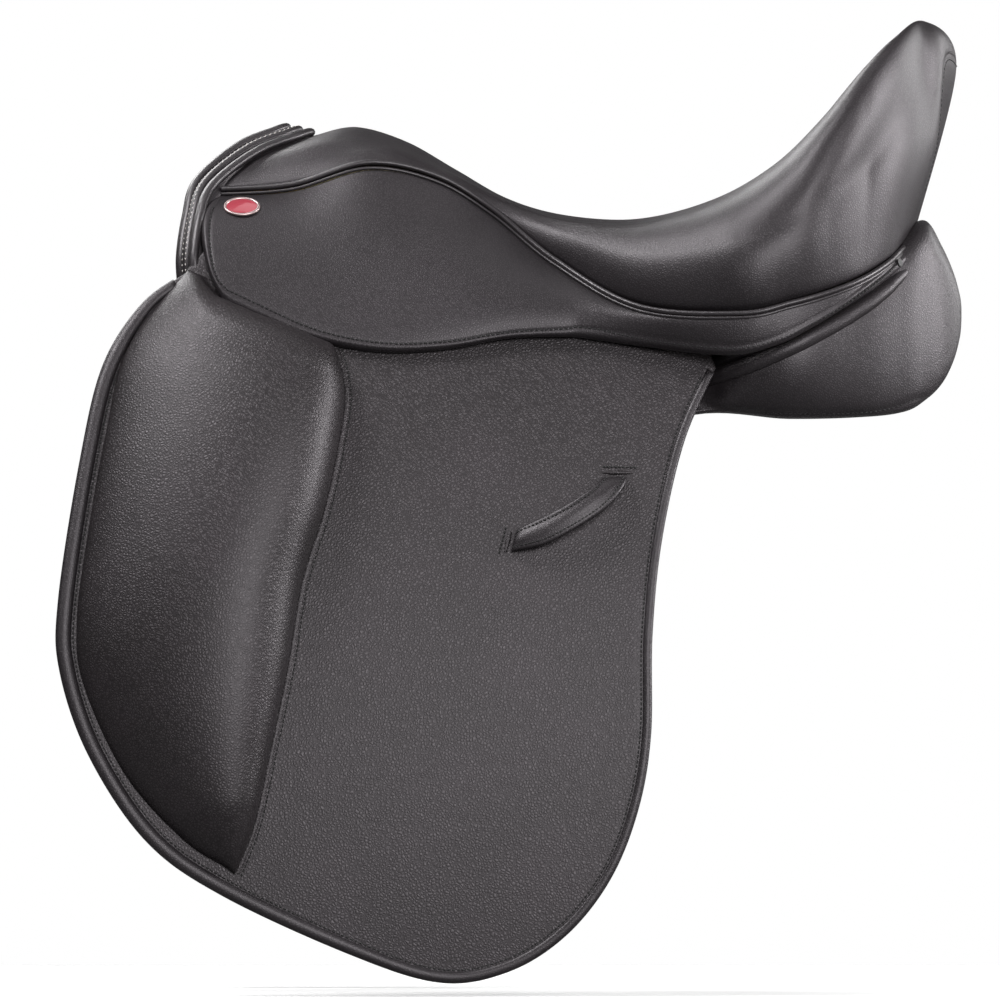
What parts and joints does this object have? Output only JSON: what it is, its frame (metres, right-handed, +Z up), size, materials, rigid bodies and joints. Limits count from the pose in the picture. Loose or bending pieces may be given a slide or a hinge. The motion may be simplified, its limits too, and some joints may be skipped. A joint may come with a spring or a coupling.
{
  "type": "dressage saddle",
  "caption": "Dressage saddle with a deep padded seat, straight flaps with outside knee blocks that lift with the skirts, swinging girth straps and stirrup bars.",
  "frame": {"origin": "on the centre line, at the level where the panels bear on the horse's back, near the middle of the seat", "axes": "+X to the rear (cantle), -X to the front (pommel), -Y to the near (left) side, +Z up"},
  "size_m": [0.5563, 0.4232, 0.5918],
  "materials": {
    "smooth_leather": "satin smooth black leather",
    "grained_leather": "matt grained black leather",
    "lining_leather": "matt black lining leather",
    "piping": "satin black piping",
    "strap_leather": "waxed black strap leather",
    "foam": "open foam",
    "webbing": "woven webbing",
    "beech": "laminated beech",
    "spring_steel": "tempered steel",
    "stainless": "satin stainless",
    "badge": "gloss red enamel"
  },
  "bodies": {
    "saddle": {"seat_cover": "smooth_leather", "cantle_back": "smooth_leather", "skirt_band_left": "smooth_leather", "skirt_band_right": "smooth_leather", "skirt_tail_left": "smooth_leather", "skirt_tail_right": "smooth_leather", "panel_left": "smooth_leather", "panel_right": "smooth_leather", "flap_hem_left": "lining_leather", "flap_hem_right": "lining_leather", "sweat_flap_left": "lining_leather", "sweat_flap_right": "lining_leather", "seat_welt_left": "piping", "seat_welt_right": "piping", "front_roll_inner": "piping", "front_roll_middle": "piping", "front_roll_outer": "piping", "seat_foam": "foam", "seat_webs": "webbing", "girth_web_front_left": "webbing", "girth_web_front_right": "webbing", "girth_web_rear_left": "webbing", "girth_web_rear_right": "webbing", "tree_head": "beech", "tree_cantle": "beech", "tree_rail_left": "beech", "tree_rail_right": "beech", "tree_bar_left": "beech", "tree_bar_right": "beech", "head_plate": "spring_steel", "skirt_nails": "spring_steel", "spring_rail_left": "spring_steel", "spring_rail_right": "spring_steel", "stirrup_bar_left": "stainless", "stirrup_bar_right": "stainless", "catch_pin_left": "stainless", "catch_pin_right": "stainless", "bar_rivets": "stainless"},
    "left_flap": {"flap_left": "grained_leather", "edge_roll_left": "piping", "knee_block_left": "grained_leather", "keeper_left": "piping"},
    "left_skirt": {"skirt_lobe_left": "smooth_leather", "badge_left": "badge"},
    "left_catch": {"bar_catch_left": "stainless"},
    "left_front_strap": {"girth_strap_front_left": "strap_leather"},
    "left_rear_strap": {"girth_strap_rear_left": "strap_leather"},
    "right_flap": {"flap_right": "grained_leather", "edge_roll_right": "piping", "knee_block_right": "grained_leather", "keeper_right": "piping"},
    "right_skirt": {"skirt_lobe_right": "smooth_leather", "badge_right": "badge"},
    "right_catch": {"bar_catch_right": "stainless"},
    "right_front_strap": {"girth_strap_front_right": "strap_leather"},
    "right_rear_strap": {"girth_strap_rear_right": "strap_leather"}
  },
  "joints": [
    {"name": "left_flap_lift", "type": "hinge", "parent": "saddle", "child": "left_flap", "pos_m": [-0.243, -0.09226, 0.094], "axis": [-0.9818, 0.0756, 0.1741], "range_deg": [0, 70]},
    {"name": "left_skirt_lift", "type": "hinge", "parent": "saddle", "child": "left_skirt", "pos_m": [-0.222, -0.066, 0.141], "axis": [-0.9459, 0.2021, 0.2537], "range_deg": [0, 70]},
    {"name": "left_catch_turn", "type": "hinge", "parent": "saddle", "child": "left_catch", "pos_m": [-0.068, -0.09105, 0.084], "axis": [0, -1, 0], "range_deg": [0, 90]},
    {"name": "left_front_strap_swing", "type": "hinge", "parent": "saddle", "child": "left_front_strap", "pos_m": [-0.108, -0.11167, 0.025], "axis": [0, 0.9788, -0.2046], "range_deg": [-5, 12]},
    {"name": "left_rear_strap_swing", "type": "hinge", "parent": "saddle", "child": "left_rear_strap", "pos_m": [-0.022, -0.11167, 0.025], "axis": [0, 0.9788, -0.2046], "range_deg": [-12, 5]},
    {"name": "right_flap_lift", "type": "hinge", "parent": "saddle", "child": "right_flap", "pos_m": [-0.243, 0.09226, 0.094], "axis": [0.9818, 0.0756, -0.1741], "range_deg": [0, 70]},
    {"name": "right_skirt_lift", "type": "hinge", "parent": "saddle", "child": "right_skirt", "pos_m": [-0.222, 0.066, 0.141], "axis": [0.9459, 0.2021, -0.2537], "range_deg": [0, 70]},
    {"name": "right_catch_turn", "type": "hinge", "parent": "saddle", "child": "right_catch", "pos_m": [-0.068, 0.09105, 0.084], "axis": [0, -1, 0], "range_deg": [0, 90]},
    {"name": "right_front_strap_swing", "type": "hinge", "parent": "saddle", "child": "right_front_strap", "pos_m": [-0.108, 0.11167, 0.025], "axis": [0, 0.9788, 0.2046], "range_deg": [-5, 12]},
    {"name": "right_rear_strap_swing", "type": "hinge", "parent": "saddle", "child": "right_rear_strap", "pos_m": [-0.022, 0.11167, 0.025], "axis": [0, 0.9788, 0.2046], "range_deg": [-12, 5]}
  ],
  "couplings": [
    {"joint": "left_skirt_lift", "follows": "left_flap_lift", "ratio": 1},
    {"joint": "right_skirt_lift", "follows": "right_flap_lift", "ratio": 1}
  ]
}
